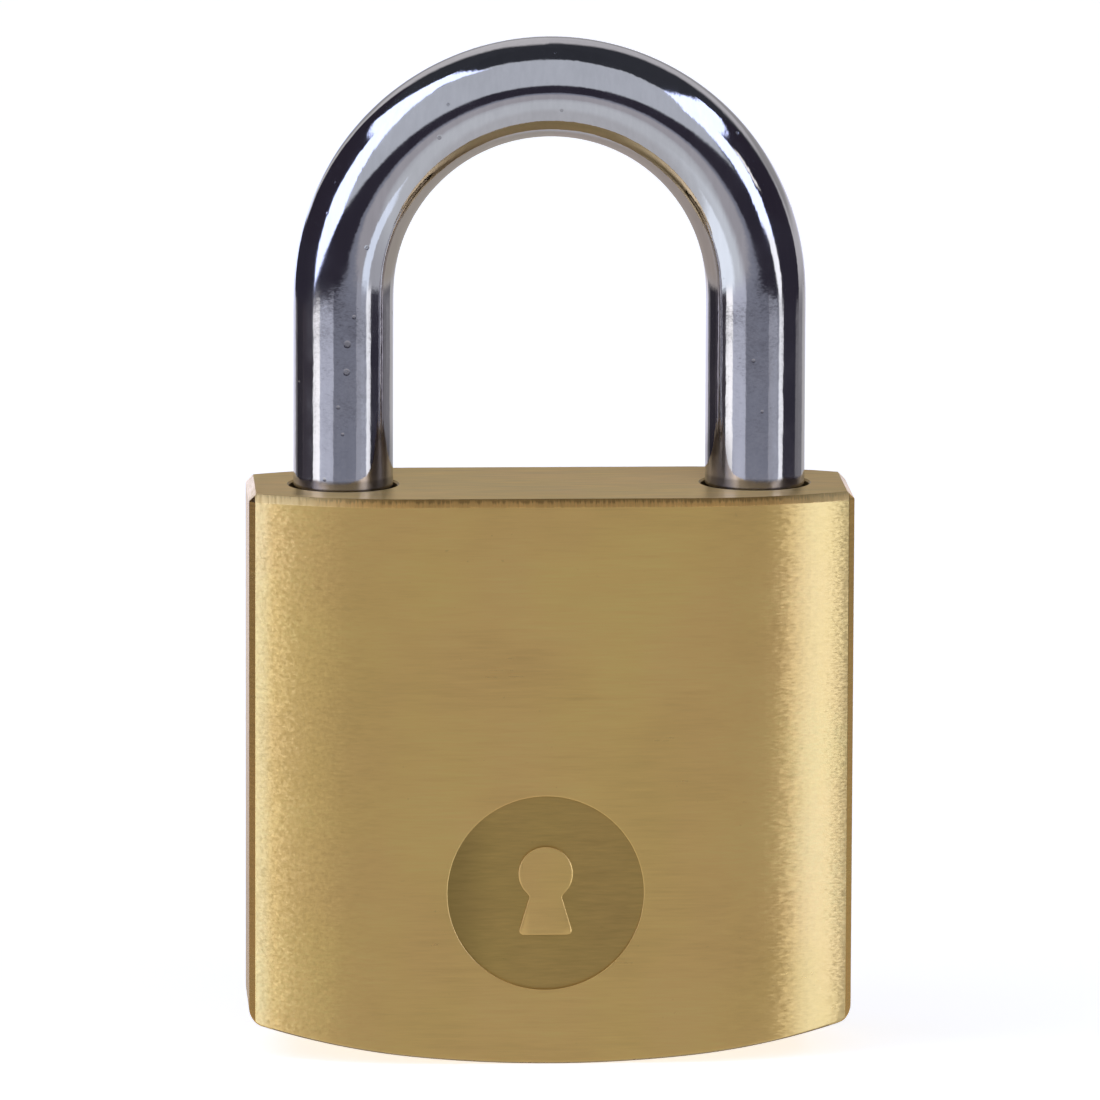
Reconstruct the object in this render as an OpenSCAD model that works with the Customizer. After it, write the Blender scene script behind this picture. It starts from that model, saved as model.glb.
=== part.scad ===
// Rectangular solid brass padlock with a round steel shackle and a five pin cylinder.
// Millimetres, +Z up, +X towards the toe leg of the shackle, +Y towards the back face.
// The origin lies on the lowest line of the arched underside, midway between the legs.
// The shackle is drawn home and the two latch bolts are drawn back, as a turned key leaves them.

/* [Body] */
// Width of the body across both legs
body_w = 40; // [39:0.5:44]
// Thickness of the body at the flat strip down its middle
body_t = 14.5; // [14:0.1:16]
// Height of the body on its centre line
body_h = 37.8; // [37:0.1:42]
// Thickness of the body at its two ends
end_t = 8.8; // [8.4:0.1:10]
// Width of the flat strip down the middle of the front and the back
flat_w = 18; // [14:0.5:20]
// Radius of the arched underside
arch_r = 87; // [75:1:120]
// Radius of the two bottom corners
corner_r = 1.1; // [0.8:0.1:1.4]
// Width of the bevel around the top face
bevel = 0.5; // [0.3:0.1:0.7]
// Diameter of the shallow recess in the front face
recess_d = 13; // [10:0.5:14]
// Depth of the shallow recess in the front face
recess_depth = 0.2; // [0.1:0.05:0.4]

/* [Shackle] */
// Diameter of the shackle rod
rod_d = 6.6; // [6.2:0.1:7]
// Distance between the centre lines of the two legs
leg_pitch = 27.3; // [27:0.1:28]
// Height of the inside of the bow over the top face
clearance_h = 23.15; // [20:0.05:50]
// Length of the toe leg inside the body
toe_depth = 9.6; // [9.4:0.1:10]
// Distance that the shackle lifts before it meets its stop pin
lift = 10.5; // [10:0.1:10.8]

/* [Latch] */
// Diameter of the two latch bolts
bolt_d = 4.6; // [4.4:0.1:4.6]
// Depth of the bolts' centre line below the top face
bolt_depth = 5.6; // [5.5:0.1:5.8]
// Distance that each bolt travels between open and locked
bolt_travel = 1.4; // [1.2:0.05:1.5]

/* [Cylinder] */
// Diameter of the cylinder plug
plug_d = 10; // [9.6:0.1:10]
// Length of the cylinder plug
plug_len = 26.25; // [26:0.05:26.5]
// Spacing of the pin chambers
pin_pitch = 3.4; // [3.2:0.1:3.5]
// Height of the lowest pin chamber over the origin
pin_first_z = 5.6; // [5.2:0.1:6]
// Diameter of the tumbler pins
pin_d = 2.5; // [2.3:0.1:2.6]

/* [Hidden] */
$fn = 96;

// Clearances: a running fit of a pin or bolt in its bore, and the air left between loose pieces.
run_gap = 0.05;
air_gap = 0.3;
// Cutting tools reach this far past the face that they open.
over = 1;

// Body outline
half_w = body_w / 2;
half_t = body_t / 2;
half_end = end_t / 2;
half_flat = flat_w / 2;
end_run = half_w - half_flat;
end_drop = half_t - half_end;
// Radius of the curved ends: tangent to the flat strip, and as thin as end_t at the end faces
end_r = (end_run * end_run + end_drop * end_drop) / (2 * end_drop);
end_centre_y = end_r - half_t;
// Small flats that break the four upright corners
corner_flat = 0.25;
recess_x = -0.5;
recess_z = 11.5;
// Generic keyhole figure that stands in the recess
keyhole_r = 1.7;
keyhole_rise = 1.3;
keyhole_neck = 0.85;
keyhole_foot = 1.7;
keyhole_drop = 4;

// Shackle
rod_r = rod_d / 2;
leg_x = leg_pitch / 2;
leg_hole_r = rod_r + air_gap;
bow_z = body_h + clearance_h + rod_r - leg_x;
toe_z = body_h - toe_depth;
toe_chamfer = 0.6;
toe_hole_z = toe_z - 0.6;
neck_r = 2;
stop_pin_r = 0.9;
stop_pin_x = neck_r + air_gap + stop_pin_r - leg_x;
stop_pin_z = 27;
stop_pin_front_y = -4;
neck_top_z = stop_pin_z + stop_pin_r + air_gap;
collar_top_z = stop_pin_z - stop_pin_r - lift;
collar_h = 2.2;
heel_z = collar_top_z - collar_h;
heel_chamfer = 0.5;
heel_hole_z = 8;

// Shackle spring
spring_wire_r = 0.3;
spring_r = 2.3;
spring_turns = 6;
spring_steps = 14;
spring_sides = 8;

// Latch
bolt_r = bolt_d / 2;
cross_r = bolt_r + run_gap;
bolt_z = body_h - bolt_depth;
bolt_tip_x = leg_x - rod_r - 0.5;
bolt_body_x = 2.2;
tongue_end_x = 1.9;
tongue_split_y = air_gap / 2;
bolt_nose = 1.5;
notch_depth = 1.2;
notch_gap = 0.2;
peg_r = 0.65;
peg_orbit_r = bolt_travel;
peg_top_z = bolt_z - 0.6;
pocket_half = peg_r + 0.35;
pocket_top_z = peg_top_z + air_gap;
bolt_spring_r = 0.5;
bolt_spring_wire = 0.25;
bolt_spring_len = 4;
bolt_spring_y = 1.15;
bolt_spring_dz = 0.9;
cross_plug_x = leg_x + leg_hole_r + 0.15;

// Cylinder
plug_r = plug_d / 2;
plug_bore_r = plug_r + run_gap;
plug_z = 0.35;
plug_top_z = plug_z + plug_len;
cam_h = 1.3;
cam_r = 4.2;
cam_tongue_half = 1;
cam_tongue_len = 6;
cam_tongue_h = 1;
plug_bore_top_z = plug_top_z + cam_h + 0.4;
passage_r = peg_orbit_r + peg_r + 0.55;
groove_z = 24.05;
groove_h = 1.8;
groove_r = 4.2;
retainer_r = 0.8;
retainer_x = -(groove_r + 0.2 + retainer_r);
retainer_front_y = -3;
back_pin_y = half_t - 0.1;

// Tumblers
pin_count = 5;
pin_r = pin_d / 2;
chamber_r = pin_r + run_gap;
key_pin_outer_y = plug_r - 0.2;
// Height above the plug's centre line at which each key pin's tip stands
key_pin_tips = [1.1, 1.9, 1.4, 2.3, 1.6];
driver_x = plug_bore_r;
driver_len = 4;
driver_chamfer = 0.3;
driver_play = 0.5;
pin_spring_x = driver_x + driver_len + driver_play + run_gap;
pin_spring_r = 0.9;
pin_spring_wire = 0.3;
chamber_plug_x = 15.5;

// Keyway, seen along the plug: a slot with two side grooves
key_slot_half = 0.85;
key_slot_back_y = -3.9;
key_slot_front_y = 2.7;
key_groove = 0.5;
key_groove_w = 1;
key_groove_ys = [-2.4, 0.4];
key_slot_top_z = 22;

function pin_z(i) = pin_first_z + i * pin_pitch;
function arch_z(x) = arch_r - sqrt(arch_r * arch_r - x * x);

// A cylinder whose axis lies along X, from x0 to x1.
module rod_x(x0, x1, r) {
    translate([x0, 0, 0])
        rotate([0, 90, 0])
            cylinder(r = r, h = x1 - x0);
}

// A cylinder whose axis lies along Y, from y0 to y1.
module rod_y(y0, y1, r) {
    translate([0, y1, 0])
        rotate([90, 0, 0])
            cylinder(r = r, h = y1 - y0);
}

// A close wound spring whose axis lies along X: rings of wire that just run into each other.
module coil_x(x0, length, r, wire) {
    wire_r = wire / 2;
    count = floor((length - wire) / (0.9 * wire));
    step = (length - wire) / count;
    translate([x0, 0, 0])
        rotate([0, 90, 0])
            rotate_extrude()
                for (i = [0:count])
                    translate([r, wire_r + i * step])
                        circle(r = wire_r, $fn = 32);
}

// Front view of the body: straight sides, bevelled top corners, arched underside, rounded bottom corners.
module front_outline() {
    corner_x = half_w - corner_r;
    corner_z = arch_r - sqrt(pow(arch_r - corner_r, 2) - corner_x * corner_x);
    reach = 3 * corner_r;
    slope = corner_x / (arch_r - corner_r);
    difference() {
        intersection() {
            polygon([
                [-half_w, -over], [half_w, -over],
                [half_w, body_h - bevel], [half_w - bevel, body_h],
                [bevel - half_w, body_h], [-half_w, body_h - bevel]
            ]);
            translate([0, arch_r])
                circle(r = arch_r, $fn = 720);
        }
        for (side = [-1, 1])
            polygon([
                [side * corner_x, corner_z],
                [side * (corner_x + reach), corner_z],
                [side * (corner_x + reach), corner_z - reach],
                [side * (corner_x + slope * reach), corner_z - reach * sqrt(1 - slope * slope)]
            ]);
    }
    for (side = [-1, 1])
        translate([side * corner_x, corner_z])
            circle(r = corner_r);
}

// Big drum with a bevelled rim: two of them crossed give one curved, bevelled end of the body.
module end_drum() {
    rotate_extrude($fn = 360)
        polygon([[0, -over], [end_r, -over], [end_r, body_h - bevel], [end_r - bevel, body_h], [0, body_h]]);
}

// The right half of the body beyond the flat strip.
module curved_end() {
    intersection() {
        translate([half_flat, end_centre_y, 0])
            end_drum();
        translate([half_flat, -end_centre_y, 0])
            end_drum();
        translate([half_flat, -body_t, -over])
            cube([end_run + over, 2 * body_t, body_h + 2 * over]);
    }
}

// The flat strip down the middle, bevelled along its top edges.
module middle_slab() {
    translate([-half_flat, 0, 0])
        rotate([90, 0, 90])
            linear_extrude(flat_w)
                polygon([
                    [-half_t, -over], [half_t, -over],
                    [half_t, body_h - bevel], [half_t - bevel, body_h],
                    [bevel - half_t, body_h], [-half_t, body_h - bevel]
                ]);
}

// Plan view that breaks the four upright corners with small flats.
module corner_plan() {
    flat_y = half_end - corner_flat;
    reach = body_t;
    polygon([
        [half_w, -flat_y], [half_w, flat_y], [half_w - reach, flat_y + reach],
        [reach - half_w, flat_y + reach], [-half_w, flat_y], [-half_w, -flat_y],
        [reach - half_w, -flat_y - reach], [half_w - reach, -flat_y - reach]
    ]);
}

module keyhole_figure() {
    translate([0, keyhole_rise])
        circle(r = keyhole_r);
    polygon([
        [-keyhole_neck, keyhole_rise], [keyhole_neck, keyhole_rise],
        [keyhole_foot, -keyhole_drop + keyhole_rise], [-keyhole_foot, -keyhole_drop + keyhole_rise]
    ]);
}

// The shallow recess, less the keyhole figure that stands in it level with the face.
module front_recess() {
    translate([recess_x, recess_depth - half_t, recess_z])
        rotate([90, 0, 0])
            linear_extrude(recess_depth + over)
                difference() {
                    circle(d = recess_d);
                    keyhole_figure();
                }
}

module leg_holes() {
    translate([-leg_x, 0, heel_hole_z])
        cylinder(r = leg_hole_r, h = body_h);
    translate([leg_x, 0, toe_hole_z])
        cylinder(r = leg_hole_r, h = body_h);
}

module cylinder_bore() {
    translate([0, 0, -over])
        cylinder(r = plug_bore_r, h = plug_bore_top_z + over);
    translate([0, 0, plug_bore_top_z - over])
        cylinder(r = passage_r, h = bolt_z - plug_bore_top_z + over);
    for (i = [0:pin_count - 1])
        translate([0, 0, pin_z(i)])
            rod_x(plug_r - over, half_w + over, chamber_r);
}

module cross_bores() {
    translate([0, 0, bolt_z])
        rod_x(-leg_x, half_w + over, cross_r);
    translate([stop_pin_x, 0, stop_pin_z])
        rod_y(stop_pin_front_y, half_t + over, stop_pin_r);
    translate([retainer_x, 0, groove_z])
        rod_y(retainer_front_y, half_t + over, retainer_r);
}

module body() {
    color("#b08d4a")
        difference() {
            intersection() {
                union() {
                    middle_slab();
                    curved_end();
                    mirror([1, 0, 0])
                        curved_end();
                }
                rotate([90, 0, 0])
                    linear_extrude(2 * body_t, center = true)
                        front_outline();
                translate([0, 0, -over])
                    linear_extrude(body_h + 2 * over)
                        corner_plan();
            }
            leg_holes();
            cylinder_bore();
            cross_bores();
            front_recess();
        }
}

// Notch in the inner side of a leg, where a latch bolt enters; side is -1 for the heel and 1 for the toe.
module leg_notch(side) {
    notch_h = bolt_d + 2 * notch_gap;
    inner_x = leg_x - rod_r;
    translate([side * (inner_x + notch_depth / 2 - over / 2), 0, bolt_z])
        cube([notch_depth + over, 2 * rod_d, notch_h], center = true);
}

module heel_leg() {
    translate([-leg_x, 0, 0])
        rotate_extrude()
            polygon([
                [0, heel_z], [rod_r - heel_chamfer, heel_z], [rod_r, heel_z + heel_chamfer],
                [rod_r, collar_top_z], [neck_r, collar_top_z],
                [neck_r, neck_top_z], [rod_r, neck_top_z],
                [rod_r, bow_z], [0, bow_z]
            ]);
}

module toe_leg() {
    translate([leg_x, 0, 0])
        rotate_extrude()
            polygon([
                [0, toe_z], [rod_r - toe_chamfer, toe_z], [rod_r, toe_z + toe_chamfer],
                [rod_r, bow_z], [0, bow_z]
            ]);
}

module shackle() {
    color("#b9bcc2")
        difference() {
            union() {
                translate([0, 0, bow_z])
                    rotate([90, 0, 0])
                        rotate_extrude(angle = 180)
                            translate([leg_x, 0])
                                circle(r = rod_r);
                heel_leg();
                toe_leg();
            }
            leg_notch(-1);
            leg_notch(1);
        }
}

// Points of the helix: ring k of the wire, corner j of the ring.
spring_rings = spring_turns * spring_steps;
spring_rise = heel_z - heel_hole_z - 2 * spring_wire_r;
function helix_point(k, j) =
    let (
        turn = 360 * k / spring_steps,
        corner = 360 * j / spring_sides,
        r = spring_r + spring_wire_r * cos(corner),
        z = heel_hole_z + spring_wire_r + spring_rise * k / spring_rings + spring_wire_r * sin(corner)
    )
    [r * cos(turn) - leg_x, r * sin(turn), z];

module shackle_spring() {
    points = [for (k = [0:spring_rings]) for (j = [0:spring_sides - 1]) helix_point(k, j)];
    walls = [
        for (k = [0:spring_rings - 1])
            for (j = [0:spring_sides - 1])
                let (
                    next = (j + 1) % spring_sides,
                    low = k * spring_sides,
                    high = low + spring_sides
                )
                each [[low + j, low + next, high + next], [low + j, high + next, high + j]]
    ];
    first_cap = [for (j = [spring_sides - 1:-1:0]) j];
    last_cap = [for (j = [0:spring_sides - 1]) spring_rings * spring_sides + j];
    color("#8f9399")
        polyhedron(points = points, faces = concat(walls, [first_cap, last_cap]), convexity = 10);
}

module shackle_stop_pin() {
    color("#9a9ea4")
        translate([stop_pin_x, 0, stop_pin_z])
            rod_y(stop_pin_front_y, back_pin_y, stop_pin_r);
}

module plug_retaining_pin() {
    color("#9a9ea4")
        translate([retainer_x, 0, groove_z])
            rod_y(retainer_front_y, back_pin_y, retainer_r);
}

module keyway() {
    translate([-key_slot_half, key_slot_back_y, 0])
        cube([2 * key_slot_half, key_slot_front_y - key_slot_back_y, key_slot_top_z]);
    translate([key_slot_half, key_groove_ys[0], 0])
        cube([key_groove, key_groove_w, key_slot_top_z]);
    translate([-key_slot_half - key_groove, key_groove_ys[1], 0])
        cube([key_groove, key_groove_w, key_slot_top_z]);
}

// Plug at its open position: the pin chambers face the back, a quarter turn from the driver pins.
module cylinder_plug() {
    color("#c2a765")
        difference() {
            translate([0, 0, plug_z])
                cylinder(r = plug_r, h = plug_len);
            keyway();
            for (i = [0:pin_count - 1])
                translate([0, 0, pin_z(i)])
                    rod_y(0, plug_r + over, chamber_r);
            translate([0, 0, groove_z - groove_h / 2])
                rotate_extrude()
                    translate([groove_r, 0])
                        square([plug_r, groove_h]);
            translate([-cam_tongue_half, -cam_tongue_len / 2, plug_top_z - cam_tongue_h])
                cube([2 * cam_tongue_half, cam_tongue_len, cam_tongue_h + over]);
        }
}

// Disc on top of the plug, keyed into its slot, with two pegs that work the bolts.
module cam() {
    color("#a7abb0") {
        translate([0, 0, plug_top_z])
            cylinder(r = cam_r, h = cam_h);
        translate([-cam_tongue_half, -cam_tongue_len / 2, plug_top_z - cam_tongue_h])
            cube([2 * cam_tongue_half, cam_tongue_len, cam_tongue_h + cam_h / 2]);
        for (side = [-1, 1])
            translate([0, side * peg_orbit_r, plug_top_z + cam_h / 2])
                cylinder(r = peg_r, h = peg_top_z - plug_top_z - cam_h / 2);
    }
}

// Bolt of the toe side: round body with a sloped nose, and a half round tongue behind one cam peg.
module latch_bolt() {
    difference() {
        union() {
            translate([0, 0, bolt_z])
                rod_x(bolt_body_x, bolt_tip_x, bolt_r);
            intersection() {
                translate([0, 0, bolt_z])
                    rod_x(-tongue_end_x, bolt_body_x + over, bolt_r);
                translate([-bolt_d, tongue_split_y, bolt_z - bolt_d])
                    cube([3 * bolt_d, bolt_d, 2 * bolt_d]);
            }
        }
        translate([-pocket_half, 0, bolt_z - bolt_d])
            cube([2 * pocket_half, bolt_d, pocket_top_z - bolt_z + bolt_d]);
        translate([bolt_tip_x, 0, bolt_z + bolt_r - bolt_nose])
            rotate([0, 45, 0])
                translate([-bolt_d, -bolt_d, 0])
                    cube([2 * bolt_d, 2 * bolt_d, bolt_d]);
        translate([0, -bolt_spring_y, bolt_z + bolt_spring_dz])
            rod_x(bolt_body_x - over, bolt_body_x + bolt_spring_len, bolt_spring_r + 0.1);
    }
}

module latch_bolt_toe() {
    color("#c2a765")
        latch_bolt();
}

module latch_bolt_heel() {
    color("#c2a765")
        rotate([0, 0, 180])
            latch_bolt();
}

// Spring in the toe bolt, which presses on the end of the heel bolt's tongue.
module bolt_spring() {
    start_x = tongue_end_x + run_gap;
    translate([0, -bolt_spring_y, bolt_z + bolt_spring_dz])
        coil_x(start_x, bolt_spring_len, bolt_spring_r - bolt_spring_wire / 2, bolt_spring_wire);
}

module bolt_spring_front() {
    color("#8f9399")
        bolt_spring();
}

module bolt_spring_back() {
    color("#8f9399")
        rotate([0, 0, 180])
            bolt_spring();
}

module cross_bore_plug() {
    color("#b08d4a")
        translate([0, 0, bolt_z])
            rod_x(cross_plug_x, half_w, cross_r);
}

// Key pin in the plug: flat outer end, pointed tip towards the key.
module key_pin(i) {
    tip = key_pin_tips[i];
    point_h = 0.7;
    color("#c9b070")
        translate([0, 0, pin_z(i)])
            rotate([-90, 0, 0])
                rotate_extrude()
                    polygon([
                        [0, tip], [pin_r / 2, tip], [pin_r, tip + point_h],
                        [pin_r, key_pin_outer_y], [0, key_pin_outer_y]
                    ]);
}

// Driver pin in the body: a plain cylinder, chamfered at its outer end.
module driver_pin(i) {
    color("#a7abb0")
        translate([driver_x, 0, pin_z(i)])
            rotate([0, 90, 0])
                rotate_extrude()
                    polygon([
                        [0, 0], [pin_r, 0], [pin_r, driver_len - driver_chamfer],
                        [pin_r - driver_chamfer, driver_len], [0, driver_len]
                    ]);
}

module pin_spring(i) {
    color("#8f9399")
        translate([0, 0, pin_z(i)])
            coil_x(pin_spring_x, chamber_plug_x - pin_spring_x, pin_spring_r, pin_spring_wire);
}

module chamber_plugs() {
    color("#b08d4a")
        for (i = [0:pin_count - 1])
            translate([0, 0, pin_z(i)])
                rod_x(chamber_plug_x, half_w, chamber_r);
}

body();
shackle();
shackle_spring();
shackle_stop_pin();
cylinder_plug();
cam();
plug_retaining_pin();
latch_bolt_heel();
latch_bolt_toe();
bolt_spring_back();
bolt_spring_front();
cross_bore_plug();
key_pin(0);  // key_pin_1
key_pin(1);  // key_pin_2
key_pin(2);  // key_pin_3
key_pin(3);  // key_pin_4
key_pin(4);  // key_pin_5
driver_pin(0);  // driver_pin_1
driver_pin(1);  // driver_pin_2
driver_pin(2);  // driver_pin_3
driver_pin(3);  // driver_pin_4
driver_pin(4);  // driver_pin_5
pin_spring(0);  // pin_spring_1
pin_spring(1);  // pin_spring_2
pin_spring(2);  // pin_spring_3
pin_spring(3);  // pin_spring_4
pin_spring(4);  // pin_spring_5
chamber_plugs();
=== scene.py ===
import math

import bmesh
import bpy
import numpy as np
from mathutils import Matrix, Vector


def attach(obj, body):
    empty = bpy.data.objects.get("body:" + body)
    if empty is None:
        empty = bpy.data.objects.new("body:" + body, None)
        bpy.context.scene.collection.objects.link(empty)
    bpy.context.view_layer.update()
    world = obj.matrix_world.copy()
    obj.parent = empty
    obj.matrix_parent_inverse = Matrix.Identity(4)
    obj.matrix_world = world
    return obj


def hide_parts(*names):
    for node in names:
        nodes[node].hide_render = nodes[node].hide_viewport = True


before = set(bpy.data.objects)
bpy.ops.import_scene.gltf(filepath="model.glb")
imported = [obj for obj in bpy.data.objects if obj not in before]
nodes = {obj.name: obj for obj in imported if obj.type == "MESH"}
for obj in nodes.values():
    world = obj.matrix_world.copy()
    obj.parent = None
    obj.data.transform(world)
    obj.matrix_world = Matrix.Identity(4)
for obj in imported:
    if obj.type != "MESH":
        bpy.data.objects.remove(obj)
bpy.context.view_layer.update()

MM = 0.001
scene = bpy.context.scene
scene.view_settings.view_transform = "Standard"

# Sizes of the solids, in millimetres, as the source of the part states them.
BODY_W, BODY_T, BODY_H, END_T, FLAT_W = 40.0, 14.5, 37.8, 8.8, 18.0
ARCH_R, CORNER_R, BEVEL = 87.0, 1.1, 0.5
RECESS_X, RECESS_Z, RECESS_R, RECESS_DEPTH = -0.5, 11.5, 6.5, 0.2
KEYHOLE_R, KEYHOLE_RISE, KEYHOLE_NECK, KEYHOLE_FOOT, KEYHOLE_DROP = 1.7, 1.3, 0.85, 1.7, 4.0
ROD_R, LEG_X, LEG_HOLE_R, BOW_Z = 3.3, 13.65, 3.6, 50.6
HEEL_Z, COLLAR_TOP_Z, NECK_TOP_Z, NECK_R, TOE_Z = 13.4, 15.6, 28.2, 2.0, 28.2
HEEL_HOLE_Z, TOE_HOLE_Z, BOLT_Z = 8.0, 27.6, 32.2
NOTCH_DEPTH, NOTCH_H = 1.2, 5.0
PLUG_BORE_R, PLUG_BORE_TOP, PASSAGE_R = 5.05, 28.3, 2.6
CROSS_R, CHAMBER_R = 2.35, 1.3
# x, z, radius and front end of the two holes that are drilled from the back
STOP_PIN = (-10.45, 27.0, 0.9, -4.0)
RETAINER = (-5.2, 24.05, 0.8, -3.0)
CHAMBER_ZS = [5.6 + 3.4 * i for i in range(5)]
CORNER_CUT_X, CORNER_CUT_Y, CORNER_ROUND = 19.6, 4.05, 0.12
BOTTOM_ROUND = 0.2
EDGE_ROUND = 0.07


# ---------------------------------------------------------------- camera

CAMERA_AZIMUTH = 3.016
FOCAL_PIXELS, PICTURE_PIXELS = 12197.4, 1100


def make_camera():
    """Camera at the photograph's viewing angle: 809 mm away, 9.3 degrees up, 3 degrees to the left."""
    distance = 809.03
    pitch, yaw, roll = math.radians(9.317), math.radians(CAMERA_AZIMUTH), math.radians(-0.2159)
    aim_x, aim_z = 0.0788, 33.28
    spin = Matrix.Rotation(-yaw, 3, "Z")
    place = Vector((aim_x, -distance * math.cos(pitch), aim_z + distance * math.sin(pitch)))
    right = Vector((1, 0, 0))
    up = Vector((0, math.sin(pitch), math.cos(pitch)))
    back = Vector((0, -math.cos(pitch), math.sin(pitch)))
    rolled_right = math.cos(roll) * right - math.sin(roll) * up
    rolled_up = math.sin(roll) * right + math.cos(roll) * up
    axes = [spin @ rolled_right, spin @ rolled_up, spin @ back]
    rows = [[axes[c][r] for c in range(3)] + [(spin @ place)[r] * MM] for r in range(3)]
    matrix = Matrix(rows + [[0, 0, 0, 1]])
    data = bpy.data.cameras.new("photo_camera")
    data.sensor_width = 36
    data.lens = FOCAL_PIXELS / PICTURE_PIXELS * data.sensor_width
    data.clip_start, data.clip_end = 0.01, 20
    camera = bpy.data.objects.new("photo_camera", data)
    camera.matrix_world = matrix
    scene.collection.objects.link(camera)
    scene.camera = camera


# ---------------------------------------------------------------- node helpers

def add(tree, kind, inputs=(), **settings):
    """A node with its settings. inputs maps a socket's name or number to a value or to another socket."""
    node = tree.nodes.new(kind)
    for name, value in settings.items():
        setattr(node, name, value)
    for key, value in dict(inputs).items():
        socket = node.inputs[key]
        if isinstance(value, bpy.types.NodeSocket):
            tree.links.new(value, socket)
        else:
            socket.default_value = value
    return node


def maths(tree, operation, *values):
    """The operation on numbers or number sockets."""
    return add(tree, "ShaderNodeMath", enumerate(values), operation=operation).outputs[0]


def vector(tree, operation, *values):
    """The operation on vectors or vector sockets. For SCALE the second value is a number."""
    node = add(tree, "ShaderNodeVectorMath", operation=operation)
    for i, value in enumerate(values):
        if operation == "SCALE" and i == 1:
            i = "Scale"
        if isinstance(value, bpy.types.NodeSocket):
            tree.links.new(value, node.inputs[i])
        else:
            node.inputs[i].default_value = value
    return node.outputs["Value"] if operation == "DISTANCE" else node.outputs[0]


def ramp(tree, value, low, high, to_low=0.0, to_high=1.0, smooth=True):
    """value between low and high becomes to_low to to_high."""
    return add(tree, "ShaderNodeMapRange",
               {0: value, 1: low, 2: high, 3: to_low, 4: to_high},
               interpolation_type="SMOOTHSTEP" if smooth else "LINEAR").outputs[0]


def mix(tree, factor, a, b):
    """Colour a where factor is 0, colour b where it is 1."""
    node = add(tree, "ShaderNodeMix", {0: factor}, data_type="RGBA")
    for key, value in ((6, a), (7, b)):
        if isinstance(value, bpy.types.NodeSocket):
            tree.links.new(value, node.inputs[key])
        else:
            node.inputs[key].default_value = (*value, 1)
    return node.outputs[2]


# ---------------------------------------------------------------- studio

def band(az0, az1, el0, el1):
    """Outline of a patch between two azimuths and two elevations."""
    return [(az0, el0), (az1, el0), (az1, el1), (az0, el1)]


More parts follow.
